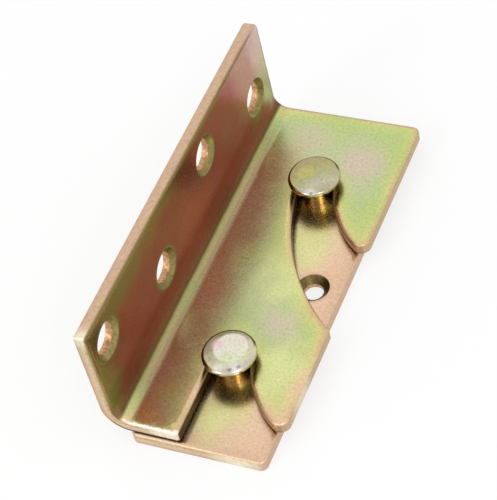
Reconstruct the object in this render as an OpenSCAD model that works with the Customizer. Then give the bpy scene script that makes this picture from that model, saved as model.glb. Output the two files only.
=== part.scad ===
// Bed rail fastener: a post plate with two headed studs, and a folded hook plate that drops over them.
// Origin at the centre of the post plate's back face, +Z out of the post, +Y up the post,
// and the rail flange along the -X side.

/* [Post plate] */
// Width of the post plate
post_w = 36; // [32:0.5:40]
// Length of the post plate
post_l = 110; // [106:1:120]
// Thickness of the post plate
post_t = 3; // [2:0.1:5]
// Corner radius of the post plate
post_corner_r = 1.8; // [0.5:0.1:4]
// Bore of the post plate's screw holes
post_screw_d = 5.2; // [4:0.1:6]
// Countersink diameter of the post plate's screw holes
post_sink_d = 8.6; // [7:0.1:10]
// Distance of the screw holes from the stud line
post_hole_x = 10; // [9:0.5:12]
// How far the middle hole on the free side sits below the plate's centre
post_hole_drop = 0.6; // [0:0.1:2]
// Distance of the end screw holes from the plate's ends
post_hole_end = 9; // [8:0.5:14]

/* [Studs] */
// Distance between the two studs
stud_pitch = 60; // [54:1:64]
// Diameter of the shank that the hook seats on
shank_d = 8; // [6.5:0.1:8.4]
// Diameter of the head
head_d = 14; // [12:0.5:16]
// Thickness of the head
head_t = 1.7; // [1.5:0.1:3]
// Radius round the upper edge of the head's rim
head_rim_r = 0.8; // [0.2:0.05:1]
// Radius round the lower edge of the head's rim
head_under_r = 0.6; // [0.2:0.05:0.8]
// Gap between the head and the hook plate under it
head_gap = 2.3; // [0.4:0.1:3]
// Diameter of the tail that is riveted through the post plate
tail_d = 6; // [4.5:0.1:6.4]
// Diameter of the riveted end at the post plate's back
tail_flare_d = 8; // [6.6:0.1:9.5]
// Depth of the riveted end
tail_flare_depth = 1; // [0.6:0.1:1.6]
// Radial clearance round the tail
tail_clear = 0.02; // [0.01:0.01:0.1]

/* [Hook plate] */
// Length of the hook plate
hook_l = 110; // [106:1:120]
// Width of the base, from the flange's inner face to the free edge
hook_w = 42; // [38:0.5:48]
// Height of the flange, from the base's back
flange_h = 35; // [32:0.5:45]
// Thickness of the folded sheet
hook_t = 3; // [2:0.1:4]
// Inside radius of the fold
bend_r = 4; // [2:0.5:5]
// Distance from the stud line to the base's free edge
free_edge_x = 20.6; // [19:0.1:24]
// Gap between the post plate and the hook plate
plate_gap = 0.6; // [0.3:0.1:1.5]
// How far the hook plate's lower end stands above the post plate's lower end
hook_rise = 0.7; // [0:0.1:3]
// Corner radius of the base at its upper free corner
base_corner_r = 2.2; // [0.5:0.1:5]
// Corner radius of the finger beside the lower slot
finger_corner_r = 0.6; // [0.2:0.1:3]
// Corner radius of the flange at its upper end
flange_top_r = 3; // [0.5:0.1:6]
// Corner radius of the flange at its lower end
flange_low_r = 0.8; // [0.3:0.1:6]

/* [Hook slots] */
// Radial clearance of the slot's seat round the shank
seat_clear = 0.5; // [0.35:0.05:0.8]
// Gap left above the shank when the hook plate is home
seat_gap = 0.3; // [0.25:0.05:0.35]
// Radius of the upper nose's curved edge
upper_nose_r = 30; // [26:0.5:34]
// Distance of the upper nose's arc centre beyond the seat
upper_nose_x = 34; // [32:0.5:38]
// Height of the upper nose's arc centre above the seat
upper_nose_y = 7.5; // [5:0.5:9]
// Radius of the lower nose's curved edge
lower_nose_r = 27; // [24:0.5:30]
// Distance of the lower nose's arc centre beyond the seat
lower_nose_x = 31; // [30:0.5:34]
// Height of the lower nose's arc centre above the seat
lower_nose_y = 8; // [6:0.5:10]
// Radius round each nose's tip
nose_tip_r = 2.5; // [1:0.1:3]
// Radius of the long guide curve below the upper seat
guide_r = 65; // [60:0.5:72]
// Turn of the guide curve's centre above the seat
guide_turn = 6.3; // [5:0.1:8]
// Radius round the corner where the guide curve meets the free edge
guide_corner_r = 0.8; // [0.3:0.1:2]

/* [Rail screw holes] */
// Number of screw holes in the flange
flange_holes = 4; // [2:1:6]
// Bore of the flange's screw holes
flange_screw_d = 8.2; // [6:0.1:8.6]
// Countersink diameter of the flange's screw holes
flange_sink_d = 10.6; // [9.6:0.1:12]
// Distance of the first hole from the flange's lower end
flange_hole_low = 8.5; // [7:0.1:12]
// Distance of the last hole from the flange's upper end
flange_hole_top = 9.7; // [7:0.1:12]
// Height of the outer row of holes above the base's back
outer_row_h = 25; // [23:0.1:26]
// Height of the inner row of holes above the base's back
inner_row_h = 15.6; // [14:0.1:18]

/* [Hidden] */
$fn = 96;

// Full angle of every countersink
sink_angle = 90;
// How far a cutting solid runs past the face that it cuts
over = 1;
// How far two outlines that blend into each other lap, so that they cross and don't just touch
lap = 0.03;

stud_y = stud_pitch / 2;
shank_r = shank_d / 2;
seat_r = shank_r + seat_clear;
// The hook plate hangs on its studs, so its seats sit this much below them
seat_drop = seat_clear - seat_gap;

base_z = post_t + plate_gap;
base_top_z = base_z + hook_t;
head_z = base_top_z + head_gap;
flange_in_x = free_edge_x - hook_w;
flange_out_x = flange_in_x - hook_t;
hook_y0 = -post_l / 2 + hook_rise;
flange_pitch = (hook_l - flange_hole_low - flange_hole_top) / (flange_holes - 1);

// Screw holes of the post plate, in half-turn pairs about its centre
post_holes = [
    [post_hole_x, -post_hole_drop],
    [-post_hole_x, post_hole_drop],
    [post_hole_x, post_l / 2 - post_hole_end],
    [-post_hole_x, -post_l / 2 + post_hole_end]
];

// Unit vector at an angle
function heading(a) = [cos(a), sin(a)];

// Angle of the contact point on the seat, where a line crosses over to the nose arc
function crossing_angle(centre, r) =
    atan2(centre.y, centre.x) + acos((seat_r + r) / norm(centre));

// Centre of the circle that rounds a nose's tip, inside the nose arc and the free edge
function tip_centre(centre, r) =
    let (x = free_edge_x - nose_tip_r + lap)
    [x, centre.y - sqrt(pow(r - nose_tip_r + lap, 2) - pow(x - centre.x, 2))];

// Centre of the circle that rounds the metal corner between the guide curve and the free edge
function guide_corner_centre(guide) =
    let (x = free_edge_x - guide_corner_r + lap)
    [x, guide.y - sqrt(pow(guide_r + guide_corner_r - lap, 2) - pow(x - guide.x, 2))];

// Screw hole down the Z axis, its countersunk mouth at z = 0 and its bore going down
module screw_hole(bore_d, sink_d, depth) {
    sink = (sink_d - bore_d) / 2 / tan(sink_angle / 2);
    translate([0, 0, -depth - over])
        cylinder(h = depth + 2 * over, d = bore_d);
    translate([0, 0, -sink])
        cylinder(h = sink, d1 = bore_d, d2 = sink_d);
    cylinder(h = over, d = sink_d);
}

// What is cut away to round a square corner at the origin, the sheet lying in +X, +Y
module corner_waste(r) {
    difference() {
        translate([-over, -over])
            square(r + over);
        translate([r, r])
            circle(r);
    }
}

// Rectangle from the origin with its corner at the origin rounded
module heel_rectangle(w, h, r) {
    difference() {
        square([w, h]);
        corner_waste(r);
    }
}

// Flat plate with four rounded corners, centred
module rounded_plate(w, l, t, r) {
    linear_extrude(t)
        difference() {
            square([w, l], center = true);
            for (sx = [0, 1], sy = [0, 1])
                mirror([sx, 0])
                    mirror([0, sy])
                        translate([-w / 2, -l / 2])
                            corner_waste(r);
        }
}

// Section of the riveted tail, grown by a clearance
module tail_section(grow) {
    polygon([
        [0, 0],
        [tail_flare_d / 2 + grow, 0],
        [tail_d / 2 + grow, tail_flare_depth],
        [tail_d / 2 + grow, post_t],
        [0, post_t]
    ]);
}

module post_plate() {
    color([0.80, 0.77, 0.50])
        difference() {
            rounded_plate(post_w, post_l, post_t, post_corner_r);
            for (at = post_holes)
                translate([at.x, at.y, post_t])
                    screw_hole(post_screw_d, post_sink_d, post_t);
            for (side = [-1, 1])
                translate([0, side * stud_y, 0])
                    rotate_extrude()
                        tail_section(tail_clear);
        }
}

// What is cut away to round a square outer corner at the origin, the section lying in -X, -Y
module rim_waste(r) {
    rotate(180)
        corner_waste(r);
}

// Section of the round head, its underside at y = 0 and both edges of its rim rounded
module head_section() {
    difference() {
        square([head_d / 2, head_t]);
        translate([head_d / 2, head_t])
            rim_waste(head_rim_r);
        translate([head_d / 2, 0])
            mirror([0, 1])
                rim_waste(head_under_r);
    }
}

// Turned stud: riveted tail, shouldered shank and flat round head
module stud() {
    rotate_extrude()
        union() {
            tail_section(0);
            translate([0, post_t])
                square([shank_r, head_z - post_t + head_t / 2]);
            translate([0, head_z])
                head_section();
        }
}

module upper_stud() {
    color([0.83, 0.81, 0.66])
        translate([0, stud_y, 0])
            stud();
}

module lower_stud() {
    color([0.83, 0.81, 0.66])
        translate([0, -stud_y, 0])
            stud();
}

// Opening below a seat, bounded above by the nose arc with its rounded tip.
// left_side lists the points of its left side, from the bottom up.
module nose_opening(centre, r, left_side) {
    crossing = heading(crossing_angle(centre, r));
    tip = tip_centre(centre, r);
    beyond_tip = centre + (r + over) / norm(tip - centre) * (tip - centre);
    out_x = free_edge_x + over;
    difference() {
        polygon(concat(
            [[0, 0], (seat_r - lap) * crossing, centre - (r - lap) * crossing, centre],
            [[centre.x, left_side[0].y]],
            left_side
        ));
        translate(centre)
            circle(r);
    }
    difference() {
        polygon([tip, beyond_tip, [out_x, centre.y - r], [out_x, tip.y]]);
        translate(tip)
            circle(nose_tip_r);
    }
    circle(seat_r);
}

// Upper mouth: below its seat the left side is the long guide curve, which runs out at the free edge
module upper_mouth() {
    guide = (guide_r - seat_r + lap) * heading(guide_turn);
    corner = guide_corner_centre(guide);
    beyond_seat = -(seat_r + over) * heading(guide_turn);
    intersection() {
        nose_opening(
            [upper_nose_x, upper_nose_y],
            upper_nose_r,
            [[beyond_seat.x, -guide_r], beyond_seat]
        );
        union() {
            translate(guide)
                circle(guide_r);
            circle(seat_r);
        }
    }
    difference() {
        polygon([corner, guide, [guide.x, corner.y]]);
        translate(corner)
            circle(guide_corner_r);
    }
}

// Lower slot: its left side runs straight down and out at the plate's lower end
module lower_slot() {
    nose_opening(
        [lower_nose_x, lower_nose_y],
        lower_nose_r,
        [[-seat_r, -stud_pitch], [-seat_r, 0]]
    );
}

// Everything cut out of the base, seen from above
module base_cuts() {
    translate([0, stud_y - seat_drop])
        upper_mouth();
    translate([0, -stud_y - seat_drop])
        lower_slot();
    translate([free_edge_x, hook_y0 + hook_l])
        rotate(180)
            corner_waste(base_corner_r);
    translate([-seat_r, hook_y0])
        rotate(90)
            corner_waste(finger_corner_r);
}

// The sheet's section across the fold, seen along the fold, its outer heel at the origin
module fold_section() {
    difference() {
        heel_rectangle(hook_w + hook_t, flange_h, bend_r + hook_t);
        translate([hook_t, hook_t])
            heel_rectangle(hook_w, flange_h, bend_r);
    }
}

// Rounds the two free corners of the flange, seen from the flange's inner side
module flange_corner_cuts() {
    translate([hook_y0, base_z + flange_h])
        rotate(-90)
            corner_waste(flange_low_r);
    translate([hook_y0 + hook_l, base_z + flange_h])
        rotate(180)
            corner_waste(flange_top_r);
}

// Turns a shape drawn as (length, height) so that it stands in the plane of the flange
module in_flange_plane() {
    translate([flange_out_x - over, 0, 0])
        rotate([90, 0, 90])
            linear_extrude(hook_t + 2 * over)
                children();
}

module hook_plate() {
    color([0.79, 0.74, 0.48])
        difference() {
            translate([flange_out_x, hook_y0 + hook_l, base_z])
                rotate([90, 0, 0])
                    linear_extrude(hook_l)
                        fold_section();
            translate([0, 0, base_z - over])
                linear_extrude(hook_t + 2 * over)
                    base_cuts();
            in_flange_plane()
                flange_corner_cuts();
            for (i = [0 : flange_holes - 1])
                translate([
                    flange_in_x,
                    hook_y0 + flange_hole_low + i * flange_pitch,
                    base_z + (i % 2 == 0 ? outer_row_h : inner_row_h)
                ])
                    rotate([0, 90, 0])
                        screw_hole(flange_screw_d, flange_sink_d, hook_t);
        }
}

post_plate();
upper_stud();
lower_stud();
hook_plate();
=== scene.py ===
import math

import bpy
import numpy as np
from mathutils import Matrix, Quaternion, Vector
from mathutils.geometry import delaunay_2d_cdt

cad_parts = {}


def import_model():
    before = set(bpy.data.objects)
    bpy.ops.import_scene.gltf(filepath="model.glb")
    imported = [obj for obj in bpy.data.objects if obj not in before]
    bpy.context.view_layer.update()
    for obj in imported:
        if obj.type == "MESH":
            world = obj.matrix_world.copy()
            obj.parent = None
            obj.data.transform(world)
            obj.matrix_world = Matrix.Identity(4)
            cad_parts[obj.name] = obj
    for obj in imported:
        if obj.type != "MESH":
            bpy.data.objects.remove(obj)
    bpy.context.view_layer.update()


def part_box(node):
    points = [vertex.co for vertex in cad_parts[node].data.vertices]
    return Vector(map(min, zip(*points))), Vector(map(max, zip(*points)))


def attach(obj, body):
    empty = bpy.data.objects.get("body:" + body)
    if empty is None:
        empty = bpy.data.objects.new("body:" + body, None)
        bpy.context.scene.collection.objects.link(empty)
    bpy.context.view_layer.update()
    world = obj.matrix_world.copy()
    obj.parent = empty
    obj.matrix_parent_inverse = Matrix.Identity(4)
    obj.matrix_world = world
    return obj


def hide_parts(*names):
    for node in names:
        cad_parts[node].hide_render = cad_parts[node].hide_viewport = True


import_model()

# Every length below is in millimetres, and meshes are scaled to metres as they are made
MM = 0.001

# Sizes that the frame gives
post_lo, post_hi = [np.array(c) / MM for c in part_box("post_plate")]
hook_lo, hook_hi = [np.array(c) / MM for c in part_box("hook_plate")]
stud_lo, stud_hi = [np.array(c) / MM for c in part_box("upper_stud")]
POST_W, POST_L, POST_T = post_hi - post_lo
STUD_Y = (stud_lo[1] + stud_hi[1]) / 2
HEAD_R = (stud_hi[0] - stud_lo[0]) / 2
HEAD_TOP = stud_hi[2]

# Thickness of the sheet that both plates are made of
SHEET_T = 3.0

# Sizes of the hook plate
BEND_R = 4.0
BASE_TOP = hook_lo[2] + SHEET_T
FOLD_X = hook_lo[0] + SHEET_T + BEND_R
FREE_X = hook_hi[0]
FREE_S = FREE_X - FOLD_X
HOOK_Y0, HOOK_Y1 = hook_lo[1], hook_hi[1]
BEND_LEN = math.pi / 2 * (BEND_R + SHEET_T / 2)
FLANGE_UP = hook_hi[2] - BASE_TOP - BEND_R
FLANGE_S = -BEND_LEN - FLANGE_UP
BASE_CORNER_R = 2.2
FINGER_CORNER_R = 0.6
FLANGE_TOP_R = 3.0
FLANGE_LOW_R = 0.8

# Hook slots, measured from the seat of each. A nose is the centre and the radius of its arc
SHANK_R = 4.0
SEAT_R = 4.5
SEAT_DROP = 0.2
UPPER_NOSE = ((34.0, 7.5), 30.0)
LOWER_NOSE = ((31.0, 8.0), 27.0)
NOSE_TIP_R = 2.5
GUIDE_R = 65.0
GUIDE_TURN = 6.3
GUIDE_CORNER_R = 0.8

# Rounding of a stud's head above and below, and the height of its underside, clear of the hook plate
HEAD_RIM_R, HEAD_UNDER_R = 0.8, 0.6
HEAD_UNDER = BASE_TOP + 2.3
# Part of a normal that leans halfway between two axes
SLANT = math.sqrt(0.5)
# A stud's profile up to its shank, as (radius, height, outward part of the normal, upward part), and the
# fillet under its head, as (outside the shank, below the head, outward part, upward part)
TAIL_SECTION = (
    (0.6, 0.16, 0, -1),
    (2.3, 0.14, 0.1, -1),
    (2.8, 0.02, 0.1, -1),
    (3.7, 0.0, 0, -1),
    (3.95, 0.06, SLANT, -SLANT),
    (3.98, 0.16, 1, 0),
    (3.5, 1.1, 0.9, 0.44),
    (3.5, POST_T - 0.1, 1, 0),
    (SHANK_R, POST_T + 0.01, 0, -1),
    (SHANK_R, POST_T + 0.02, 1, 0),
    (SHANK_R, POST_T + 0.6, 1, 0),
)
FILLET_SECTION = ((0.0, 0.45, 1, 0), (0.13, 0.13, SLANT, -SLANT), (0.45, 0.0, 0, -1))
HEAD_ARC_STEPS = 7
HEAD_FACE_RINGS = (5.6, 4.6, 3.4, 2.2, 1.0)

# Screw holes
POST_BORE_R, POST_SINK_R = 2.6, 4.3
POST_HOLES = [(10, -0.6), (-10, 0.6), (10, 46), (-10, -46)]
POST_CORNER_R = 1.8
RAIL_BORE_R, RAIL_SINK_R = 4.1, 5.3
RAIL_HOLE_LOW, RAIL_HOLE_TOP, RAIL_HOLE_COUNT = 8.5, 9.7, 4
RAIL_ROWS = (25.0, 15.6)
# Edges of a countersunk hole: its lip as (outside the countersink, depth, lean of the normal), the cone's
# foot as (outside the bore, past the cone, lean), and the bore's end as (outside it, above the back, lean)
SINK_LIP = ((0.22, 0.0, 1.0), (0.06, 0.03, 0.92), (-0.1, 0.14, SLANT))
SINK_FOOT = ((0.08, -0.1, SLANT), (0.0, 0.05, 0.1))
BORE_END = ((0.0, 0.15, 0.0), (0.04, 0.03, -0.7), (0.14, 0.0, -1.0))
# Hole for a stud's riveted tail in the post plate, as (radius, depth, lean), flared at the back
TAIL_HOLE = [(3.6, 0.0, 1.0), (3.6, 0.1, 0.0), (3.6, 1.8, 0.0), (4.04, 2.9, 0.0), (4.14, 3.0, -1.0)]

# Spacing of points along straight and curved edges, across a face, and down each row of the fold
STEP = 1.0
ARC_STEP = 0.35
GRID_STEP = 4.0
BEND_STEPS = 18
ROW_POINTS = 42
HOLE_POINTS, STUD_POINTS = 72, 128
# How near a face's own points come to the fold's rows and to one another
ROW_GAP, LEAST_GAP = 0.3, 0.3
# How far before the bend the sheet already starts to lean
BEND_EASE = 0.9

# Profile of a sheared edge: its roll at the front as (inset, depth), its wall as (inset, share of the
# thickness), and its soft edge at the back as (inset, height above the back)
EDGE_TOP = [(0.55, 0.0), (0.38, 0.045), (0.24, 0.11), (0.12, 0.2), (0.04, 0.32), (0.0, 0.47)]
EDGE_WALL = [(0.0, 0.33), (0.02, 0.55), (0.03, 0.8)]
EDGE_LOW = [(0.0, 0.22), (0.05, 0.08), (0.18, 0.0)]
# How far a face already leans in degrees where its edge starts to roll over, and a wall where the roll ends
ROLL_LEAN = (24, 83)
# What the rim attribute says on an outline's wall and in a hole. On a face it is the distance to the edge
WALL_RIM, HOLE_RIM = -1.0, -2.0
# How much narrower the tinted halo of a hole is than that of an outer edge
HOLE_HALO = 6.0
# How much of the sheet's box must lie in front of an edge for it to count as a slot's
INNER_FROM = 2.4
# Share of the slots' painted shade, and how much it gains on walls that face the free edge and loses on
# walls that face the low end, as the light falls on them
SLOT_SHADE_SHARE, SLOT_SHADE_TURN = 0.65, 0.35
# Insets of the extra rows of points that carry the colour of a cut edge into the face
NEAR_EDGE = (1.2, 1.8, 2.6, 3.7, 5.2)

# Plating films as linear colours, each list from a sheared edge inward or from thin to thick
FACE_FILMS = (
    (0.00, (0.67, 0.48, 0.27)),
    (0.03, (0.70, 0.53, 0.26)),
    (0.07, (0.68, 0.63, 0.26)),
    (0.22, (0.58, 0.64, 0.25)),
    (0.50, (0.51, 0.61, 0.28)),
    (0.75, (0.56, 0.59, 0.35)),
    (1.00, (0.64, 0.56, 0.42)),
)
POST_FILMS = (
    (0.00, (0.72, 0.50, 0.34)),
    (0.20, (0.82, 0.55, 0.38)),
    (0.50, (0.84, 0.59, 0.42)),
    (0.80, (0.82, 0.64, 0.38)),
    (1.00, (0.78, 0.70, 0.35)),
)
FLANGE_FILMS = (
    (0.00, (0.36, 0.25, 0.10)),
    (0.12, (0.28, 0.17, 0.065)),
    (0.30, (0.30, 0.14, 0.055)),
    (0.55, (0.35, 0.085, 0.05)),
    (0.75, (0.36, 0.07, 0.055)),
    (1.00, (0.44, 0.095, 0.03)),
)
# Thin dark line where the flange's face meets its rolled edge, a painted reflection
FLANGE_REFLECTION_LINE = (0.10, 0.085, 0.03)
# Painted reflection of the floor beyond the base's end, over the flange's top end, from the free edge to the
# fold
TOP_REFLECTION = (
    (0.00, (0.62, 0.43, 0.38)),
    (0.30, (0.60, 0.43, 0.34)),
    (0.50, (0.50, 0.46, 0.24)),
    (0.75, (0.42, 0.43, 0.15)),
    (1.00, (0.22, 0.22, 0.07)),
)
# Patches of other films: each a linear colour and its spots, as (s, y, radius, strength) on the flat sheet
FERN = (0.50, 0.61, 0.22), ((34, 44, 14, 0.75), (15, 52, 12, 0.75), (36, 25, 10, 0.65))
LILAC = (0.68, 0.54, 0.45), ((27, 39, 12, 0.9), (25, -17, 9, 0.7), (11, 45, 10, 0.6))
LEMON = (0.76, 0.80, 0.37), ((32, -30, 14, 0.8), (21, -3, 14, 0.65))
PEACH = (
    (0.84, 0.56, 0.38),
    ((39, -33, 9, 0.9), (35, -46, 9, 0.8), (0, -56, 6, 0.8), (13, -42, 6, 0.9)),
)
EMBER = (0.48, 0.11, 0.05), ((-18, 0, 12, 0.8),)
MOSS = (0.22, 0.28, 0.08), ((-10, -52, 6, 0.9), (-11, 45, 6, 0.8))
GREEN = (0.76, 0.76, 0.34), ((0, -45, 12, 0.9), (3, 13, 13, 0.9))
RUSSET = (0.50, 0.32, 0.18), ((3, 34, 10, 0.8), (2, -26, 8, 0.7))
UMBER = (0.42, 0.22, 0.12), ((-27, 42, 9, 0.8), (-19, 41, 7, 0.7), (-35, 42, 9, 0.8))
REED = (0.42, 0.50, 0.19), ((-11, 53, 6, 0.85),)
GRASS = (0.58, 0.72, 0.28), ((6, -43, 6, 0.8), (9, -33, 4, 0.5), (9, 4, 6, 0.5))
AMBER = (0.82, 0.55, 0.20), ((3, -51, 6, 0.65),)
# Film on the base along the fold, and colours across the fold from the base's side to the flange's side: a
# painted highlight line with darker painted reflections on each side, then the flange's red-brown
FOLD_SIDE = (0.54, 0.50, 0.31)
FOLD_FILMS_AND_HIGHLIGHT = (
    (0.00, (0.40, 0.27, 0.15)),
    (0.12, (0.37, 0.26, 0.13)),
    (0.23, (0.42, 0.34, 0.17)),
    (0.36, (0.38, 0.33, 0.13)),
    (0.44, (0.22, 0.18, 0.06)),
    (0.49, (0.12, 0.085, 0.03)),
    (0.56, (0.20, 0.09, 0.04)),
    (0.80, (0.30, 0.11, 0.06)),
    (1.00, (0.46, 0.15, 0.08)),
)
FOLD_GREEN = (0.32, 0.36, 0.14), ((-2, 46, 16, 0.8), (-2, -12, 10, 0.6), (-3, -44, 8, 0.6))
FOLD_MOSS = MOSS[0], ((-8, -52, 5, 0.9),)
FOLD_PEACH = PEACH[0], ((-2, -55, 6, 0.3),)
# Films down a sheared wall, from the front face to the back, on the outline with a painted glint at the top
# of its roll, and painted shade down the walls in the slots
WALL_FILMS_AND_GLINT = (
    (0.00, (0.84, 0.74, 0.54)),
    (0.08, (0.50, 0.38, 0.20)),
    (0.18, (0.66, 0.50, 0.30)),
    (0.45, (0.76, 0.60, 0.40)),
    (0.75, (0.70, 0.51, 0.34)),
    (1.00, (0.50, 0.34, 0.22)),
)
# Painted shade down the slots' walls, from the front face to the back
SLOT_WALL_SHADE = (
    (0.00, (0.60, 0.40, 0.24)),
    (0.10, (0.14, 0.08, 0.035)),
    (0.40, (0.09, 0.045, 0.02)),
    (1.00, (0.05, 0.025, 0.01)),
)
# Films of countersinks on the flange and on the post plate, and of bores
SINK_FILMS = (
    (0.00, (0.17, 0.12, 0.04)),
    (0.50, (0.30, 0.24, 0.09)),
    (1.00, (0.50, 0.44, 0.22)),
)
POST_SINK_FILMS = (
    (0.00, (0.10, 0.06, 0.02)),
    (0.50, (0.17, 0.12, 0.045)),
    (1.00, (0.34, 0.28, 0.13)),
)
BORE_FILMS = (
    (0.00, (0.38, 0.17, 0.07)),
    (0.50, (0.62, 0.36, 0.19)),
    (1.00, (0.76, 0.54, 0.36)),
)
# Films of the sheared walls along the long sides
PEACH_WALL, TAN_WALL = (0.64, 0.43, 0.30), (0.56, 0.40, 0.23)
# Pale metal on the end walls of the finger and the flange, and on the lower nose's wall
PALE = (1.00, 0.94, 0.76), ((10, -54, 8, 1.0), (-36, -54, 5, 0.9), (38, -36, 9, 0.6))
# A ragged burr line on the face along the finger's end, painted bright as a glint of light on the rolled
# edge
BURR_GLINT = (1.00, 0.92, 0.72)
# Painted shadow along the bottom of the finger's end, in the gap where it lies over the post plate
GAP_SHADOW = (0.02, 0.012, 0.006)
# Films across a stud's head from its upper left to its lower right, for the upper and the lower stud
UPPER_HEAD_FILMS = (
    (0.15, (0.44, 0.37, 0.19)),
    (0.38, (0.47, 0.44, 0.19)),
    (0.60, (0.47, 0.46, 0.27)),
    (0.85, (0.57, 0.53, 0.38)),
    (1.00, (0.50, 0.46, 0.32)),
)
LOWER_HEAD_FILMS = (
    (0.05, (0.30, 0.26, 0.14)),
    (0.30, (0.42, 0.38, 0.24)),
    (0.50, (0.60, 0.56, 0.38)),
    (0.75, (0.68, 0.66, 0.42)),
    (1.00, (0.60, 0.55, 0.46)),
)
# Patches on the heads: a pale disc painted as the light on the lower head's raised centre, its tints, scuffs
# and dark flecks. The last is a painted dark reflection along the upper left of the heads' rims
LIT_DISC = (0.80, 0.77, 0.66), ((0.1, -28.9, 4.7, 1.0),)
BLUSH = (0.86, 0.62, 0.62), ((-3.4, -28.6, 2.6, 0.9), (1.2, -26.0, 2.6, 0.4))
MINT = (0.68, 0.76, 0.46), ((0.8, -32.0, 3.2, 0.9), (2.6, -28.0, 2.2, 0.5), (3.8, -31.4, 2.4, 0.8))
OLIVE = (0.52, 0.50, 0.17), ((-2.3, 30.4, 2.8, 0.7),)
SCUFF = (0.86, 0.82, 0.78), ((3.6, -34.6, 3.0, 1.0), (-0.5, -35.8, 2.0, 0.7), (1.5, 23.8, 2.4, 0.8))
FLECK = (0.22, 0.18, 0.13), ((2.4, -35.4, 1.1, 1.0), (4.3, -34.0, 1.0, 0.9), (1.6, 23.6, 0.9, 0.8))
DARK_RIM_REFLECTION = (0.12, 0.08, 0.04)
# How much of a disc's radius has its full strength, on the lower head and on the upper head
LIT_DISC_CORE, OLIVE_CORE = 0.85, 0.6
# How fast the films change across a head, per millimetre from its upper left to its lower right
HEAD_SLANT = 0.06
# Films of the shanks and of the heads' undersides
SHANK_FILMS = (
    (0.00, (0.12, 0.07, 0.03)),
    (0.50, (0.32, 0.24, 0.085)),
    (1.00, (0.62, 0.54, 0.20)),
)

# How far inward from an edge the films keep changing, at the top and at the low end, and how far through
# its films each face gets
FACE_REACH = (6.0, 12.0, 0.55)
POST_REACH = (12.0, 12.0, 0.9)
FLANGE_REACH = (2.5, 12.0, 0.7)
# Borders, each as (where a film is not there yet, where it has its whole share). Names end in what is
# measured: S across the sheet, Y along it, DEPTH from its front, RIM from its edge, R from a stud's axis,
# Z up from the post, or the SHARE of the way through the fold or across a head
REACH_Y = (20.0, -52.0)
CUT_DEPTH, CUT_RIM = (0.1, 0.42), (0.5, 0.0)
HOLE_BORDER_RIM = (WALL_RIM - 0.2, HOLE_RIM + 0.2)
ROLL_RIM = (0.1, -0.2)
SIDE_NEAR_S = (2.0, 0.8)
TOP_REFLECTION_Y = (44.0, 66.0)
LINE_NEAR_RIM, LINE_Y, LINE_S = (0.4, 0.15), (HOOK_Y1 - 2.0, HOOK_Y1 - 6.0), (-20.0, -24.0)
GREEN_SHARE = (0.45, 0.36)
FOLD_END_RIM, FOLD_END_SHARE = (14.0, 1.0), (0.42, 0.34)
BESIDE_S, BESIDE_Y = (14.0, 3.0), (HOOK_Y1 - 3.0, HOOK_Y1 - 18.0)
BENT_S, UPRIGHT_S = (1.0, -1.2), (-0.95 * BEND_LEN, -1.35 * BEND_LEN)
BURR_GLINT_RIM, BURR_GLINT_Y = (0.4, 0.1), (HOOK_Y0 + 1.6, HOOK_Y0 + 1.0)
BURR_GLINT_START_S, BURR_GLINT_STOP_S = (-3.0, 1.0), (14.4, 13.0)
BACK_DEPTH = (0.4 * SHEET_T, 0.6 * SHEET_T)
GAP_SHADOW_DEPTH = (SHEET_T - 0.75, SHEET_T - 0.4)
GAP_SHADOW_Y, GAP_SHADOW_S = (HOOK_Y0 + 0.8, HOOK_Y0 + 0.2), (-6.0, -3.0)
MATT_START_S, MATT_STOP_S = (-3.2, -4.6), (-15.0, -10.0)
LOWER_STUD_Y = (10.0, -10.0)
DARK_RIM_R, DARK_RIM_SHARE = (HEAD_R - 0.8, HEAD_R - 0.5), (0.75, 0.55)
UNDER_HEAD_Z = (HEAD_TOP - 0.75, HEAD_TOP - 1.0)
# Half the width of the border between a countersink and its bore
BORE_BORDER = 0.1
# How much of a film its border lets through at most, where that is not all
SIDE_STRENGTH, LINE_STRENGTH, FOLD_END_STRENGTH, BESIDE_STRENGTH = 0.8, 0.6, 0.8, 0.9
# How the films drift less close to an edge: least share, and how far through the films it is whole
STEADY_SHARE, STEADY_TO = 0.1, 0.4
# Slant of the painted reflection on the flange's top end, and how far inside the rim its painted dark
# reflection line runs
TOP_REFLECTION_SLANT, LINE_RIM = -0.35, 0.2

# Noises of the plating, as (cells per millimetre, detail), and that of the torn streaks down a sheared wall,
# with its stretch too, and how much of the bump it makes
NOISES = {"broad": (0.055, 1.0), "patch": (0.16, 3.0), "grain": (1.3, 3.0), "dust": (4.0, 1.0)}
TORN_NOISE, TORN_HEIGHT = (1.4, 3.0, (1, 1, 0.1)), 0.9
# How ragged the border of a patch is in the grain's noise, as a share of its width
RAGGED = 0.2
# Speckle of the plating, as factors on its colour
DARK_SPECK, PLAIN, LIGHT_SPECK = (0.66, 0.62, 0.56), (1.0, 1.0, 1.0), (1.25, 1.24, 1.2)
# Roughness of the faces, and how much rougher a sheared wall and the flange's side of the fold are
SHEET_ROUGH, STUD_ROUGH, CUT_ROUGHER, FOLD_ROUGHER = 0.26, 0.2, 0.2, 0.2
# Full height of the bump, in metres
RELIEF = 6e-5

# Light on the floor from the sky, how far the floor is lifted to white, and its half size in metres
SKY_LIGHT = 0.95
FLOOR_LIFT = 0.72
FLOOR_HALF = 3.0
# Grey, roughness and specular level of the floor
FLOOR_GREY, FLOOR_ROUGH, FLOOR_SPECULAR = (0.9, 0.9, 0.9, 1), 0.9, 0.1


def heading(degrees):
    a = math.radians(degrees)
    return np.array([math.cos(a), math.sin(a)])


def arc(centre, r, start, end):
    """Points along an arc from one angle to another, in degrees."""
    count = max(4, math.ceil(abs(math.radians(end - start)) * r / ARC_STEP))
    return [np.array(centre) + r * heading(a) for a in np.linspace(start, end, count + 1)]


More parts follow.
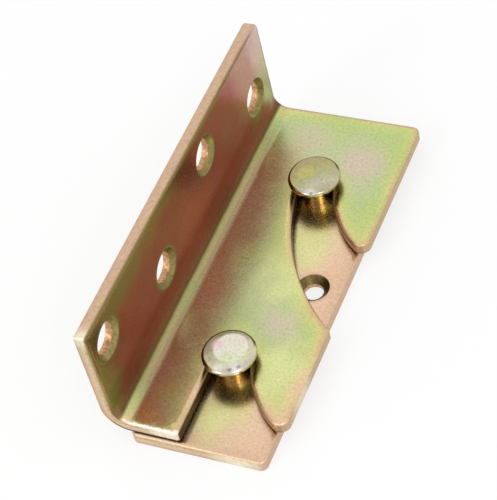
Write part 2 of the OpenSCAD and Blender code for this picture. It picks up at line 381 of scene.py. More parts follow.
def straight(a, b, step=STEP):
    a, b = np.array(a, float), np.array(b, float)
    count = max(1, round(np.linalg.norm(b - a) / step))
    return [a + (b - a) * t for t in np.linspace(0, 1, count + 1)]


def joined(*stretches):
    """One closed loop from stretches of points, without the doubled points where they meet."""
    touching = 1e-4
    points = [p for stretch in stretches for p in stretch]
    kept = [p for p, q in zip(points, points[-1:] + points[:-1]) if np.linalg.norm(p - q) > touching]
    return np.array(kept)


def angle_of(v):
    return math.degrees(math.atan2(v[1], v[0])) % 360


def nose_edge(seat, nose):
    """The edge from a seat's left side over to its nose, and round the tip to the free edge."""
    offset, r = nose
    centre = np.array(offset)
    crossing = angle_of(centre) + math.degrees(math.acos((SEAT_R + r) / np.linalg.norm(centre)))
    tip_x = FREE_S - seat[0] - NOSE_TIP_R
    tip = np.array([tip_x, centre[1] - math.sqrt((r - NOSE_TIP_R) ** 2 - (tip_x - centre[0]) ** 2)])
    on_seat = SEAT_R * heading(crossing)
    on_nose = centre - r * heading(crossing)
    run_out = angle_of(tip - centre)
    return [
        arc(seat, SEAT_R, 180, crossing),
        straight(seat + on_seat, seat + on_nose, ARC_STEP),
        arc(seat + centre, r, crossing + 180, run_out),
        arc(seat + tip, NOSE_TIP_R, run_out, 360),
    ]


def guide_edge(seat):
    """The edge from the free edge round the corner and up the guide curve to the seat's left side."""
    centre = (GUIDE_R - SEAT_R) * heading(GUIDE_TURN)
    x = FREE_S - seat[0] - GUIDE_CORNER_R
    corner = np.array([x, centre[1] - math.sqrt((GUIDE_R + GUIDE_CORNER_R) ** 2 - (x - centre[0]) ** 2)])
    leave = angle_of(centre - corner)
    return [
        arc(seat + corner, GUIDE_CORNER_R, 0, leave),
        arc(seat + centre, GUIDE_R, leave + 180, 180 + GUIDE_TURN),
        arc(seat, SEAT_R, 180 + GUIDE_TURN, 180),
    ]


def fold_stops():
    """Where the fold's rows of points lie across the flat pattern."""
    return [BEND_EASE, BEND_EASE / 2] + [-BEND_LEN * k / BEND_STEPS for k in range(BEND_STEPS + 1)]


def across_fold(y, rising, start, end):
    """A straight cut across the fold at one height, with a point on each row of the fold."""
    stops = fold_stops()
    if rising:
        stops = stops[::-1]
    first = straight((start, y), (stops[0], y))
    last = straight((stops[-1], y), (end, y))
    return first + [np.array([s, y]) for s in stops[1:-1]] + last


def hook_outline():
    """The hook plate's flat pattern, counter-clockwise. s runs from the fold to the free edge, y up."""
    stud_s = -FOLD_X
    upper = np.array([stud_s, STUD_Y - SEAT_DROP])
    lower = np.array([stud_s, -STUD_Y - SEAT_DROP])
    finger_s = stud_s - SEAT_R
    fr, lr, tr, br = FINGER_CORNER_R, FLANGE_LOW_R, FLANGE_TOP_R, BASE_CORNER_R
    lower_nose = nose_edge(lower, LOWER_NOSE)
    upper_nose = nose_edge(upper, UPPER_NOSE)
    guide = guide_edge(upper)
    return joined(
        arc((FLANGE_S + lr, HOOK_Y0 + lr), lr, 180, 270),
        across_fold(HOOK_Y0, True, FLANGE_S + lr, finger_s - fr),
        arc((finger_s - fr, HOOK_Y0 + fr), fr, 270, 360),
        straight((finger_s, HOOK_Y0 + fr), (finger_s, lower[1])),
        *lower_nose,
        straight(lower_nose[-1][-1], guide[0][0]),
        *guide,
        *upper_nose,
        straight(upper_nose[-1][-1], (FREE_S, HOOK_Y1 - br)),
        arc((FREE_S - br, HOOK_Y1 - br), br, 0, 90),
        across_fold(HOOK_Y1, False, FREE_S - br, FLANGE_S + tr),
        arc((FLANGE_S + tr, HOOK_Y1 - tr), tr, 90, 180),
        straight((FLANGE_S, HOOK_Y1 - tr), (FLANGE_S, HOOK_Y0 + lr)),
    )


def plate_outline():
    w, l, r = POST_W / 2, POST_L / 2, POST_CORNER_R
    return joined(
        arc((r - w, r - l), r, 180, 270),
        straight((r - w, -l), (w - r, -l)),
        arc((w - r, r - l), r, 270, 360),
        straight((w, r - l), (w, l - r)),
        arc((w - r, l - r), r, 0, 90),
        straight((w - r, l), (r - w, l)),
        arc((r - w, l - r), r, 90, 180),
        straight((-w, l - r), (-w, r - l)),
    )


def on_plate(flat, up):
    """Places flat points (s, y, depth) of the post plate, and turns their normals."""
    return np.c_[flat[:, 0], flat[:, 1], POST_T - flat[:, 2]], up


def on_hook(flat, up):
    """Folds flat points (s, y, depth) of the hook plate into place, and turns their normals with them."""
    s, y, depth = flat.T
    turn = np.clip(-s / BEND_LEN, 0, 1) * math.pi / 2
    past_base = np.maximum(s, 0)
    past_bend = np.maximum(-s - BEND_LEN, 0)
    rho = BEND_R + depth
    x = FOLD_X - rho * np.sin(turn) + past_base
    z = BASE_TOP + BEND_R - rho * np.cos(turn) + past_bend
    lean = np.clip((BEND_EASE - s) / (BEND_EASE + BEND_LEN), 0, 1) * math.pi / 2
    normals = np.c_[
        up[:, 0] * np.cos(lean) + up[:, 2] * np.sin(lean),
        up[:, 1],
        up[:, 2] * np.cos(lean) - up[:, 0] * np.sin(lean),
    ]
    return np.c_[x, y, z], normals


def loop_normals(loop):
    """Outward normal of a loop at each point, and how far a mitre stretches there."""
    ahead = np.roll(loop, -1, axis=0) - loop
    ahead /= np.linalg.norm(ahead, axis=1)[:, None]
    behind = np.roll(ahead, 1, axis=0)
    n = np.c_[ahead[:, 1] + behind[:, 1], -ahead[:, 0] - behind[:, 0]]
    length = np.linalg.norm(n, axis=1)
    return n / length[:, None], 2 / length


def edge_distance(points, loops):
    """Shortest distance from each point to any of the loops."""
    best = np.full(len(points), np.inf)
    chunk = 400
    for loop in loops:
        a, b = loop, np.roll(loop, -1, axis=0)
        d = b - a
        length2 = (d ** 2).sum(1)
        for i in range(0, len(points), chunk):
            p = points[i:i + chunk, None, :]
            t = np.clip(((p - a) * d).sum(2) / length2, 0, 1)
            gap = np.linalg.norm(p - a - t[:, :, None] * d, axis=2).min(1)
            best[i:i + chunk] = np.minimum(best[i:i + chunk], gap)
    return best


def is_inside(points, loops):
    """Even-odd test of each point against all loops together."""
    inside = np.zeros(len(points), bool)
    x, y = points.T
    for loop in loops:
        for a, b in zip(loop, np.roll(loop, -1, axis=0)):
            spans = (a[1] > y) != (b[1] > y)
            rise = b[1] - a[1] if b[1] != a[1] else 1.0
            inside ^= spans & (x < a[0] + (y - a[1]) * (b[0] - a[0]) / rise)
    return inside


class Mesh:
    """Collects flat points with their normals, edge tints and the painted shade of slot walls, then makes an
    object of them.
    """

    def __init__(self):
        self.flat, self.up, self.rim, self.inner, self.faces = [], [], [], [], []

    def add(self, flat, up, rim, inner=0.0):
        start = len(self.flat)
        self.flat.extend(map(tuple, flat))
        self.up.extend(map(tuple, up))
        self.rim.extend(rim)
        self.inner.extend(np.broadcast_to(inner, len(flat)))
        return np.arange(start, len(self.flat))

    def ring(self, loop, depth, lean, normals, rim, inner=0.0):
        """A ring at one depth. lean is 1 for a face's own normal, 0 for the wall's, -1 for the back's."""
        flat = np.c_[loop, np.full(len(loop), depth)]
        up = np.c_[normals * math.sqrt(max(0, 1 - lean * lean)), np.full(len(loop), lean)]
        return self.add(flat, up, np.full(len(loop), rim), inner)

    def bridge(self, upper, lower):
        """Quads from one ring down to the next, facing away from the material."""
        for i in range(len(upper)):
            j = (i + 1) % len(upper)
            self.faces.append((upper[j], upper[i], lower[i], lower[j]))

    def fill(self, rings, loops, depth, lean, rows=()):
        """A face between rings, with rows of points near its edges and a loose grid inside."""
        slack, same_place = 0.97, 1e-7
        edge = np.concatenate([np.c_[[self.flat[i][:2] for i in ring]] for ring in rings])
        near = []
        for loop in loops:
            n, _ = loop_normals(loop)
            near += [p for inset in NEAR_EDGE for p in (loop - n * inset)[::2]]
        spans = zip(edge.min(0), edge.max(0))
        across, along = [np.arange(a + GRID_STEP / 2, b, GRID_STEP) for a, b in spans]
        free = np.array(near + [(s, y) for s in across for y in along])
        if len(rows):
            free = free[(free[:, 0] > max(rows) + ROW_GAP) | (free[:, 0] < min(rows) - ROW_GAP)]
        free = free[is_inside(free, loops)]
        gap = edge_distance(free, loops)
        free = free[gap > NEAR_EDGE[0] * slack]
        free = self.thinned(free)
        count = len(edge)
        points = [Vector(p) for p in np.vstack([edge, free])]
        wires, start = [], 0
        for ring in rings:
            wires += [(start + i, start + (i + 1) % len(ring)) for i in range(len(ring))]
            start += len(ring)
        for s in rows:
            ends = [i for i in range(count) if math.isclose(edge[i][0], s, abs_tol=1e-6)]
            first, last = min(ends, key=lambda i: edge[i][1]), max(ends, key=lambda i: edge[i][1])
            between = np.linspace(edge[first][1], edge[last][1], ROW_POINTS)[1:-1]
            row = [len(points) + k for k in range(len(between))]
            points += [Vector((s, y)) for y in between]
            chain = [first] + row + [last]
            wires += list(zip(chain, chain[1:]))
        verts, _, tris, origin, _, _ = delaunay_2d_cdt(points, wires, [], 0, same_place)
        verts = np.array([tuple(v) for v in verts])
        ring_index = np.concatenate(rings)
        index = np.full(len(verts), -1)
        for i, sources in enumerate(origin):
            known = [k for k in sources if k < count]
            if known:
                index[i] = ring_index[known[0]]
        fresh = np.where(index < 0)[0]
        rim = edge_distance(verts[fresh], loops[:1])
        if len(loops) > 1:
            rim = np.minimum(rim, HOLE_HALO * edge_distance(verts[fresh], loops[1:]))
        flat = np.c_[verts[fresh], np.full(len(fresh), depth)]
        up = np.tile((0.0, 0.0, lean), (len(fresh), 1))
        index[fresh] = self.add(flat, up, rim)
        tris = np.array(tris)
        middle = verts[tris].mean(1)
        for tri in tris[is_inside(middle, loops)]:
            a, b, c = index[tri]
            self.faces.append((a, b, c) if lean > 0 else (c, b, a))

    @staticmethod
    def thinned(points, gap=LEAST_GAP):
        """Drops points that crowd one another."""
        seen, kept = set(), []
        for p in points:
            key = (round(p[0] / gap), round(p[1] / gap))
            if key not in seen:
                seen.add(key)
                kept.append(p)
        return np.array(kept)

    def build(self, name, place):
        flat = np.array(self.flat)
        at, normals = place(flat, np.array(self.up))
        mesh = bpy.data.meshes.new(name)
        mesh.from_pydata((at * MM).tolist(), [], [tuple(int(i) for i in f) for f in self.faces])
        mesh.attributes.new("flat", "FLOAT_VECTOR", "POINT").data.foreach_set("vector", flat.ravel())
        mesh.attributes.new("rim", "FLOAT", "POINT").data.foreach_set("value", np.array(self.rim, float))
        mesh.attributes.new("inner", "FLOAT", "POINT").data.foreach_set("value", np.array(self.inner, float))
        mesh.shade_smooth()
        mesh.normals_split_custom_set_from_vertices(normals.tolist())
        obj = bpy.data.objects.new(name, mesh)
        bpy.context.scene.collection.objects.link(obj)
        return obj


def edge_profile(thickness):
    """Rings of a cut edge from the front face to the back: (inset, depth, lean of the normal)."""
    top = [(i, d) for i, d in EDGE_TOP]
    wall = [(i, thickness * share) for i, share in EDGE_WALL]
    low = [(i, thickness - d) for i, d in EDGE_LOW]
    leans = [math.cos(math.radians(a)) for a in np.linspace(*ROLL_LEAN, len(top))]
    leans += [0] * len(wall) + list(np.linspace(0, -1, len(low)))
    return [(i, d, lean) for (i, d), lean in zip(top + wall + low, leans)]


def sink_profile(bore_r, sink_r, thickness):
    """Rings of a countersunk hole from the front face to the back: (radius, depth, lean)."""
    cone = sink_r - bore_r
    lip = [(sink_r + out, depth, lean) for out, depth, lean in SINK_LIP]
    foot = [(bore_r + out, cone + past, lean) for out, past, lean in SINK_FOOT]
    end = [(bore_r + out, thickness - above, lean) for out, above, lean in BORE_END]
    return lip + [(sink_r - cone / 2, cone / 2, SLANT)] + foot + end


def circle_loop(centre, r, count=HOLE_POINTS):
    """A circle run clockwise, so that the material lies on its left like the outline's."""
    return np.array([np.array(centre) + r * heading(-a) for a in np.linspace(0, 360, count, endpoint=False)])


def sheet(name, outline, thickness, holes, place, rows=()):
    """A flat or folded plate with sheared edges. holes lists (centre, rings of its profile)."""
    made = Mesh()
    normals, mitre = loop_normals(outline)
    lo, hi = outline.min(0), outline.max(0)
    least = 1e-3
    ahead = np.where(normals > 0, hi - outline, outline - lo) / np.maximum(np.abs(normals), least)
    # Painted shade for the walls of slots: more on walls facing the free edge, less on walls facing the low
    # end
    turned = np.maximum(normals[:, 0], 0), np.minimum(normals[:, 1], 0)
    shade = SLOT_SHADE_SHARE + SLOT_SHADE_TURN * turned[0] + SLOT_SHADE_TURN * turned[1]
    inner = np.clip(ahead.min(1) - INNER_FROM, 0, 1) * shade
    front, back, previous = [], [], None
    for inset, depth, lean in edge_profile(thickness):
        loop = outline - normals * (inset * mitre)[:, None]
        rim = min(0, inset - EDGE_TOP[0][0]) if lean > 0 else WALL_RIM
        ring = made.ring(loop, depth, lean, normals, rim, inner)
        if previous is None:
            front.append(ring)
        else:
            made.bridge(previous, ring)
        previous = ring
    back.append(previous)
    front_loops = [outline]
    for centre, rings in holes:
        previous = None
        for r, depth, lean in rings:
            loop = circle_loop(centre, r)
            n, _ = loop_normals(loop)
            ring = made.ring(loop, depth, lean, n, HOLE_RIM if previous is not None else 0.0)
            if previous is None:
                front.append(ring)
                front_loops.append(loop)
            else:
                made.bridge(previous, ring)
            previous = ring
        back.append(previous)
    made.fill(front, [loop_of(made, r) for r in front], 0.0, 1.0, rows)
    made.fill(back, [loop_of(made, r) for r in back], thickness, -1.0, rows)
    return made.build(name, place)


def loop_of(made, ring):
    return np.array([made.flat[i][:2] for i in ring])


def make_hook():
    rail_step = (HOOK_Y1 - HOOK_Y0 - RAIL_HOLE_LOW - RAIL_HOLE_TOP) / (RAIL_HOLE_COUNT - 1)
    holes = []
    for i in range(RAIL_HOLE_COUNT):
        height = hook_lo[2] + RAIL_ROWS[i % 2]
        s = -BEND_LEN - (height - BASE_TOP - BEND_R)
        y = HOOK_Y0 + RAIL_HOLE_LOW + i * rail_step
        holes.append(((s, y), sink_profile(RAIL_BORE_R, RAIL_SINK_R, SHEET_T)))
    return sheet("folded_hook_plate", hook_outline(), SHEET_T, holes, on_hook, fold_stops())


def make_plate():
    holes = [(at, sink_profile(POST_BORE_R, POST_SINK_R, POST_T)) for at in POST_HOLES]
    holes += [((0, y), TAIL_HOLE) for y in (STUD_Y, -STUD_Y)]
    return sheet("studded_post_plate", plate_outline(), POST_T, holes, on_plate)


def stud_section():
    """Radius, height and normal of the stud from its riveted back to the middle of its face."""
    rows = list(TAIL_SECTION)
    rows += [(SHANK_R + out, HEAD_UNDER - below, *normal) for out, below, *normal in FILLET_SECTION]
    for r, z, start, end in (
        (HEAD_UNDER_R, HEAD_UNDER + HEAD_UNDER_R, -90, 0),
        (HEAD_RIM_R, HEAD_TOP - HEAD_RIM_R, 0, 90),
    ):
        for a in np.linspace(start, end, HEAD_ARC_STEPS):
            n = heading(a)
            rows.append((HEAD_R - r + r * n[0], z + r * n[1], n[0], n[1]))
    return rows + [(r, HEAD_TOP, 0, 1) for r in HEAD_FACE_RINGS]


def make_stud(name, y):
    made = Mesh()
    previous = None
    for r, z, out, up in stud_section():
        spokes = circle_loop((0, 0), 1, STUD_POINTS)[::-1]
        flat = np.c_[spokes * r + (0, y), np.full(STUD_POINTS, z)]
        n = np.c_[spokes * out, np.full(STUD_POINTS, up)]
        ring = made.add(flat, n, np.full(STUD_POINTS, r))
        if previous is not None:
            made.bridge(ring, previous)
        else:
            made.faces.append(tuple(ring[::-1]))
        previous = ring
    made.faces.append(tuple(previous))
    return made.build(name, lambda flat, up: (flat, up))


class Metal:
    """A zinc-plated steel, built node by node. Lengths in it are millimetres of flat sheet."""

    def __init__(self, name):
        self.material = bpy.data.materials.new(name)
        self.material.use_nodes = True
        self.tree = self.material.node_tree
        self.shader = self.tree.nodes["Principled BSDF"]
        self.shader.inputs["Metallic"].default_value = 1.0
        self.flat = self.attribute("flat", "Vector")
        self.rim = self.attribute("rim", "Fac")
        self.inner = self.attribute("inner", "Fac")
        parts = self.tree.nodes.new("ShaderNodeSeparateXYZ")
        self.feed(parts.inputs[0], self.flat)
        self.across, self.along, self.depth = parts.outputs
        self.noises = {name: self.noise(*look) for name, look in NOISES.items()}

    def feed(self, socket, value):
        """Links a socket to an output, or sets it to a constant."""
        if isinstance(value, bpy.types.NodeSocket):
            self.tree.links.new(value, socket)
        elif isinstance(value, tuple):
            socket.default_value = (*value, 1)
        else:
            socket.default_value = value

    def attribute(self, name, output):
        made = self.tree.nodes.new("ShaderNodeAttribute")
        made.attribute_name = name
        return made.outputs[output]

    def maths(self, operation, *values, clamp=False):
        made = self.tree.nodes.new("ShaderNodeMath")
        made.operation = operation
        made.use_clamp = clamp
        for socket, value in zip(made.inputs, values):
            self.feed(socket, value)
        return made.outputs[0]

    def remap(self, value, start, end, to_start=0.0, to_end=1.0):
        """Eases a value from one range into another, and holds it outside."""
        made = self.tree.nodes.new("ShaderNodeMapRange")
        made.interpolation_type = "SMOOTHSTEP"
        for socket, given in zip(made.inputs, (value, start, end, to_start, to_end)):
            self.feed(socket, given)
        return made.outputs[0]

    def mask(self, *steps):
        """Eased steps multiplied together, each as remap takes it."""
        total = self.remap(*steps[0])
        for step in steps[1:]:
            total = self.maths("MULTIPLY", total, self.remap(*step))
        return total

    def noise(self, scale, detail, stretch=(1, 1, 1)):
        """Noise around 0.5, with so many cells per millimetre."""
        place = self.tree.nodes.new("ShaderNodeMapping")
        place.inputs["Scale"].default_value = stretch
        self.feed(place.inputs[0], self.flat)
        made = self.tree.nodes.new("ShaderNodeTexNoise")
        made.inputs["Scale"].default_value = scale
        made.inputs["Detail"].default_value = detail
        self.feed(made.inputs["Vector"], place.outputs[0])
        return made.outputs[0]

    def centred(self, noise, weight):
        """A noise that swings by half its weight to each side of nothing."""
        return self.maths("MULTIPLY_ADD", noise, weight, -weight / 2)

    def swayed(self, start, **weights):
        """start, moved up and down by each named noise as far as its weight says."""
        total = start
        for name, weight in weights.items():
            total = self.maths("ADD", total, self.centred(self.noises[name], weight))
        return total

    def ramp(self, value, *stops):
        """Colours blended through (position, linear colour) stops."""
        made = self.tree.nodes.new("ShaderNodeValToRGB")
        marks = made.color_ramp.elements
        while len(marks) < len(stops):
            marks.new(0.5)
        for mark, (position, colour) in zip(marks, stops):
            mark.position = position
            mark.color = (*colour, 1)
        self.feed(made.inputs[0], value)
        return made.outputs["Color"]

    def blend(self, factor, first, second, kind="MIX"):
        made = self.tree.nodes.new("ShaderNodeMix")
        made.data_type = "RGBA"
        made.blend_type = kind
        for index, value in ((0, factor), (6, first), (7, second)):
            self.feed(made.inputs[index], value)
        return made.outputs[2]

    def near(self, spot, radius, strength, height=0.0, core=0.0):
        """The strength at a spot and over its core, fading to nothing at a ragged border."""
        gap = self.tree.nodes.new("ShaderNodeVectorMath")
        gap.operation = "DISTANCE"
        self.feed(gap.inputs[0], self.flat)
        gap.inputs[1].default_value = (*spot, height)
        border = radius - core * radius
        away = self.swayed(gap.outputs["Value"], patch=border, grain=RAGGED * border)
        return self.remap(away, core * radius, radius, strength, 0.0)

    def patched(self, colour, *patches, height=0.0, core=0.0):
        """Lays films over a colour, each at its own spots."""
        for film, spots in patches:
            for s, y, radius, strength in spots:
                colour = self.blend(self.near((s, y), radius, strength, height, core), colour, film)
        return colour

    def finish(self, colour, rough, cut):
        """Speckle, roughness and bump, alike on every zinc surface. cut is 1 on a sheared edge."""
        speckle = self.swayed(0.5, grain=0.9, dust=0.5)
        shade = self.ramp(speckle, (0.0, DARK_SPECK), (0.5, PLAIN), (1.0, LIGHT_SPECK))
        self.feed(self.shader.inputs["Base Color"], self.blend(1.0, colour, shade, "MULTIPLY"))
        matt = self.swayed(rough, patch=0.14, grain=0.1)
        worked = self.maths("MAXIMUM", cut, self.remap(self.rim, *ROLL_RIM))
        self.feed(self.shader.inputs["Roughness"], self.maths("MULTIPLY_ADD", worked, CUT_ROUGHER, matt))
        relief = self.swayed(0.0, broad=1.0, patch=0.25, grain=0.1, dust=0.025)
        torn = self.maths("MULTIPLY", self.centred(self.noise(*TORN_NOISE), TORN_HEIGHT), cut)
        bump = self.tree.nodes.new("ShaderNodeBump")
        bump.inputs["Distance"].default_value = RELIEF
        self.feed(bump.inputs["Height"], self.maths("ADD", relief, torn))
        self.feed(self.shader.inputs["Normal"], bump.outputs[0])
        return self.material


def sheet_face(metal, films, reach):
    """Film colours that run from the edges of a face inward, and drift in broad patches."""
    top, low, plateau = reach
    local = metal.remap(metal.along, *REACH_Y, top / plateau, low / plateau)
    inward = metal.maths("MINIMUM", metal.maths("DIVIDE", metal.rim, local), plateau)
    drift = metal.swayed(0.0, broad=0.9, patch=0.5, grain=0.16)
    loose = metal.remap(inward, 0.0, STEADY_TO, STEADY_SHARE, 1.0)
    return metal.ramp(metal.maths("MULTIPLY_ADD", drift, loose, inward), *films)


def with_cuts(metal, face, bore, sink_films, *sides):
    """Adds the colours of sheared walls, countersinks and bores to a face. Gives the cut mask too.

    bore is the depth at which the bores start. sides lists where each long side lies across the
    sheet, and the film of its wall.
    """
    cut = metal.mask((metal.depth, *CUT_DEPTH), (metal.rim, *CUT_RIM))
    hole = metal.remap(metal.rim, *HOLE_BORDER_RIM)
    down = metal.maths("DIVIDE", metal.depth, SHEET_T)
    # Wall films, with a painted glint at the top of the roll
    plain = metal.ramp(metal.swayed(down, patch=0.3, grain=0.4), *WALL_FILMS_AND_GLINT)
    for side, film in sides:
        from_side = metal.maths("ABSOLUTE", metal.maths("SUBTRACT", metal.across, side))
        plain = metal.blend(metal.remap(from_side, *SIDE_NEAR_S, 0.0, SIDE_STRENGTH), plain, film)
    plain = metal.patched(plain, PALE)
    # The slots' walls take painted shade in place of the plain wall films
    wall = metal.blend(metal.inner, plain, metal.ramp(down, *SLOT_WALL_SHADE))
    sink = metal.ramp(metal.swayed(0.5, patch=1.0, grain=0.5), *sink_films)
    grainy = metal.ramp(metal.swayed(0.5, grain=1.8, dust=0.6), *BORE_FILMS)
    in_bore = metal.remap(metal.depth, bore - BORE_BORDER, bore + BORE_BORDER)
    colour = metal.blend(cut, face, wall)
    return metal.blend(hole, colour, metal.blend(in_bore, sink, grainy)), cut


def flange_colour(metal):
    """Red-brown with olive borders, a paler top end that is a painted reflection of the floor, and a dark
    line along the rolled edge that is a painted reflection.
    """
    flange = metal.patched(sheet_face(metal, FLANGE_FILMS, FLANGE_REACH), EMBER, MOSS)
    # Painted reflection of the floor over the flange's top end
    over = metal.remap(metal.across, FLANGE_S, -BEND_LEN)
    top = metal.ramp(metal.swayed(over, patch=0.4, grain=0.1), *TOP_REFLECTION)
    slanted = metal.maths("MULTIPLY_ADD", metal.across, TOP_REFLECTION_SLANT, metal.along)
    to_top_reflection = metal.remap(metal.swayed(slanted, patch=14.0), *TOP_REFLECTION_Y)
    flange = metal.patched(metal.blend(to_top_reflection, flange, top), UMBER)
    # Painted dark reflection along the flange's rolled edge
    from_line = metal.maths("ABSOLUTE", metal.maths("ADD", metal.rim, -LINE_RIM))
    along_edge = (from_line, *LINE_NEAR_RIM, 0.0, LINE_STRENGTH)
    line = metal.mask(along_edge, (metal.along, *LINE_Y), (metal.across, *LINE_S))
    return metal.blend(line, flange, FLANGE_REFLECTION_LINE)


def fold_colour(metal, face):
    """Green beside the base with a painted highlight line, then a dark line of painted reflection, then
    red-brown towards the flange, with paler ends.
    """
    # Painted highlight line and painted reflections across the fold
    through = metal.maths("MULTIPLY", metal.across, -1 / BEND_LEN)
    fold = metal.ramp(metal.swayed(through, patch=0.08, grain=0.04), *FOLD_FILMS_AND_HIGHLIGHT)
    fold = metal.blend(metal.remap(through, *GREEN_SHARE), fold, metal.patched(fold, FOLD_GREEN))
    fold = metal.patched(fold, FOLD_MOSS)
    from_end = (metal.rim, *FOLD_END_RIM, 0.0, FOLD_END_STRENGTH)
    pale_end = metal.mask(from_end, (through, *FOLD_END_SHARE))
    return metal.patched(metal.blend(pale_end, fold, face), FOLD_PEACH)


def base_colour(metal, face):
    """The face's own films, with a duller one beside the fold, and patches of others."""
    towards_fold = (metal.swayed(metal.across, broad=8.0, patch=5.0), *BESIDE_S, 0.0, BESIDE_STRENGTH)
    beside = metal.mask(towards_fold, (metal.along, *BESIDE_Y))
    return metal.patched(metal.blend(beside, face, FOLD_SIDE), RUSSET, GRASS, AMBER)


def hook_zinc():
    """Yellow-green sheet with peach rims, a green fold with a painted highlight line, and a red-brown flange
    with a painted reflection at its top end.
    """
    metal = Metal("hook_zinc")
    face = metal.patched(sheet_face(metal, FACE_FILMS, FACE_REACH), FERN, LILAC, LEMON, PEACH)
    bent = metal.remap(metal.across, *BENT_S)
    upright = metal.remap(metal.across, *UPRIGHT_S)
    inside = metal.blend(bent, base_colour(metal, face), fold_colour(metal, face))
    inside = metal.patched(metal.blend(upright, inside, flange_colour(metal)), REED)
    # Painted glint on the ragged burr along the finger's end
    burr_glint_edge = (metal.swayed(metal.rim, grain=2.4), *BURR_GLINT_RIM)
    burr_glint_length = (metal.across, *BURR_GLINT_START_S), (metal.across, *BURR_GLINT_STOP_S)
    inside = metal.blend(metal.mask(burr_glint_edge, (metal.along, *BURR_GLINT_Y), *burr_glint_length), inside, BURR_GLINT)
    coated = metal.blend(metal.remap(metal.depth, *BACK_DEPTH), inside, face)
    sides = ((FLANGE_S, PEACH_WALL), (FREE_S, TAN_WALL))
    colour, cut = with_cuts(metal, coated, RAIL_SINK_R - RAIL_BORE_R, SINK_FILMS, *sides)
    # Painted shadow in the gap under the finger's end
    gap_shadow = metal.mask((metal.depth, *GAP_SHADOW_DEPTH), (metal.along, *GAP_SHADOW_Y), (metal.across, *GAP_SHADOW_S))
    colour = metal.blend(metal.maths("MULTIPLY", cut, gap_shadow), colour, GAP_SHADOW)
    in_fold = metal.mask((metal.across, *MATT_START_S), (metal.across, *MATT_STOP_S))
    return metal.finish(colour, metal.maths("MULTIPLY_ADD", in_fold, FOLD_ROUGHER, SHEET_ROUGH), cut)


def post_zinc():
    """The same plating, paler: yellow-green round the studs, peach and pink towards the edges."""
    metal = Metal("post_zinc")
    face = metal.patched(sheet_face(metal, POST_FILMS, POST_REACH), GREEN)
    sides = [(x, PEACH_WALL) for x in (post_lo[0], post_hi[0])]
    colour, cut = with_cuts(metal, face, POST_SINK_R - POST_BORE_R, POST_SINK_FILMS, *sides)
    return metal.finish(colour, SHEET_ROUGH, cut)


def stud_zinc():
    """Turned stud: a silvery head with a pale disc painted as light and a painted dark reflection along its
    rim, and a golden shank.
    """
    metal = Metal("stud_zinc")
    lower = metal.remap(metal.along, *LOWER_STUD_Y)
    pitch = 2 * STUD_Y
    own_y = metal.maths("MODULO", metal.maths("ADD", metal.along, pitch), pitch)
    slant = metal.maths("SUBTRACT", metal.across, metal.maths("SUBTRACT", own_y, STUD_Y))
    slant = metal.maths("MULTIPLY_ADD", slant, HEAD_SLANT, 0.5)
    tone = metal.swayed(slant, patch=0.7, grain=0.2)
    head = metal.blend(lower, metal.ramp(tone, *UPPER_HEAD_FILMS), metal.ramp(tone, *LOWER_HEAD_FILMS))
    head = metal.patched(head, OLIVE, height=HEAD_TOP, core=OLIVE_CORE)
    # Pale disc painted as the light on the lower head's raised centre
    head = metal.patched(head, LIT_DISC, height=HEAD_TOP, core=LIT_DISC_CORE)
    head = metal.patched(head, BLUSH, MINT, SCUFF, FLECK, height=HEAD_TOP)
    # Painted dark reflection along the upper left of the heads' rims
    outline = metal.mask((metal.rim, *DARK_RIM_R), (slant, *DARK_RIM_SHARE))
    gold = metal.ramp(metal.swayed(0.45, patch=1.6, grain=0.7), *SHANK_FILMS)
    below = metal.remap(metal.depth, *UNDER_HEAD_Z)
    return metal.finish(metal.blend(below, metal.blend(outline, head, DARK_RIM_REFLECTION), gold), STUD_ROUGH, 0.0)


def camera():
    """The photograph's viewpoint, with the object enlarged and centred in the frame."""
    aim = Vector((-9.37, 4.72, 6.6)) * MM
    azimuth, elevation, roll = map(math.radians, (33.54, 47.79, -15.54))
    distance = 521.7 * MM
    photo_focal_px, enlarge, long_side_px = 1261.0, 1.6, 500
    back = Vector((
        math.sin(azimuth) * math.cos(elevation),
        -math.cos(azimuth) * math.cos(elevation),
        math.sin(elevation),
    ))
    data = bpy.data.cameras.new("camera")
    data.sensor_width = 36.0
    data.lens = photo_focal_px * enlarge / long_side_px * data.sensor_width
    obj = bpy.data.objects.new("camera", data)
    bpy.context.scene.collection.objects.link(obj)
    obj.location = aim + back * distance
    obj.rotation_mode = "QUATERNION"
    obj.rotation_quaternion = (-back).to_track_quat("-Z", "Y") @ Quaternion((0, 0, 1), roll)
    bpy.context.scene.camera = obj


def lamp(name, at, size, power):
    """A round area lamp that shines at the object."""
    data = bpy.data.lights.new(name, "AREA")
    data.shape = "DISK"
    data.size = size
    data.energy = power
    obj = bpy.data.objects.new(name, data)
    bpy.context.scene.collection.objects.link(obj)
    obj.location = at
    obj.rotation_mode = "QUATERNION"
    obj.rotation_quaternion = (-Vector(at)).to_track_quat("-Z", "Y")


def seen_directly(tree):
    """1 on camera, glossy and transmission rays."""
    path = tree.nodes.new("ShaderNodeLightPath")
    total = path.outputs["Is Camera Ray"]
    for ray in ("Is Glossy Ray", "Is Transmission Ray"):
        add = tree.nodes.new("ShaderNodeMath")
        add.operation = "ADD"
        add.use_clamp = True
        tree.links.new(total, add.inputs[0])
        tree.links.new(path.outputs[ray], add.inputs[1])
        total = add.outputs[0]
    return total


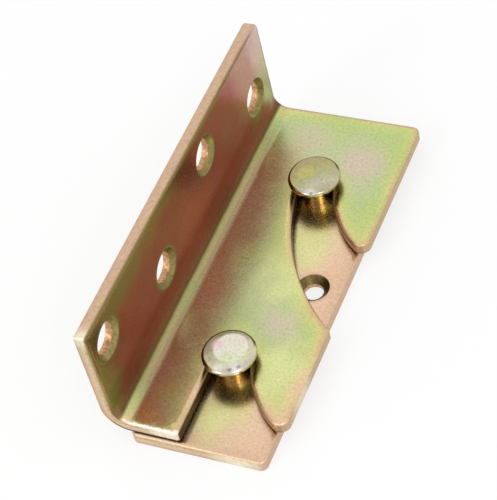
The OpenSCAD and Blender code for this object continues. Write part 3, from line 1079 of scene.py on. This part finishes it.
def world():
    """Soft even light, with plain white where it is seen or mirrored."""
    made = bpy.data.worlds.new("studio")
    bpy.context.scene.world = made
    made.use_nodes = True
    tree = made.node_tree
    tree.nodes.clear()
    out = tree.nodes.new("ShaderNodeOutputWorld")
    mix = tree.nodes.new("ShaderNodeMixShader")
    tree.links.new(seen_directly(tree), mix.inputs[0])
    for socket, strength in ((mix.inputs[1], SKY_LIGHT), (mix.inputs[2], 1.0)):
        background = tree.nodes.new("ShaderNodeBackground")
        background.inputs["Color"].default_value = (1, 1, 1, 1)
        background.inputs["Strength"].default_value = strength
        tree.links.new(background.outputs[0], socket)
    tree.links.new(mix.outputs[0], out.inputs[0])


def floor():
    """A pale floor that keeps the object's shadow, and is lifted to white where it is seen or mirrored."""
    mesh = bpy.data.meshes.new("floor")
    h = FLOOR_HALF
    mesh.from_pydata([(-h, -h, 0), (h, -h, 0), (h, h, 0), (-h, h, 0)], [], [(0, 1, 2, 3)])
    obj = bpy.data.objects.new("floor", mesh)
    bpy.context.scene.collection.objects.link(obj)
    material = bpy.data.materials.new("floor_white")
    material.use_nodes = True
    tree = material.node_tree
    shader = tree.nodes["Principled BSDF"]
    shader.inputs["Base Color"].default_value = FLOOR_GREY
    shader.inputs["Roughness"].default_value = FLOOR_ROUGH
    shader.inputs["Specular IOR Level"].default_value = FLOOR_SPECULAR
    glow = tree.nodes.new("ShaderNodeEmission")
    mix = tree.nodes.new("ShaderNodeMixShader")
    lift = tree.nodes.new("ShaderNodeMath")
    lift.operation = "MULTIPLY"
    lift.inputs[1].default_value = FLOOR_LIFT
    tree.links.new(seen_directly(tree), lift.inputs[0])
    tree.links.new(lift.outputs[0], mix.inputs[0])
    tree.links.new(shader.outputs[0], mix.inputs[1])
    tree.links.new(glow.outputs[0], mix.inputs[2])
    tree.links.new(mix.outputs[0], tree.nodes["Material Output"].inputs[0])
    mesh.materials.append(material)


def dress(obj, material, node, body):
    """Gives a piece its material, hides the CAD part that it stands for, and hangs it on the body that it
    rides on.
    """
    obj.data.materials.append(material)
    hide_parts(node)
    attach(obj, body)


bpy.context.scene.view_settings.view_transform = "Standard"
camera()
world()
floor()
lamp("key", at=(0.5, -0.55, 0.75), size=0.25, power=1.6)
lamp("front", at=(-0.45, -0.85, 0.65), size=0.3, power=1.6)

dress(make_hook(), hook_zinc(), "hook_plate", "hook")
dress(make_plate(), post_zinc(), "post_plate", "post")
stud_metal = stud_zinc()
for name, y in (("upper", STUD_Y), ("lower", -STUD_Y)):
    dress(make_stud(name + "_riveted_stud", y), stud_metal, name + "_stud", "post")
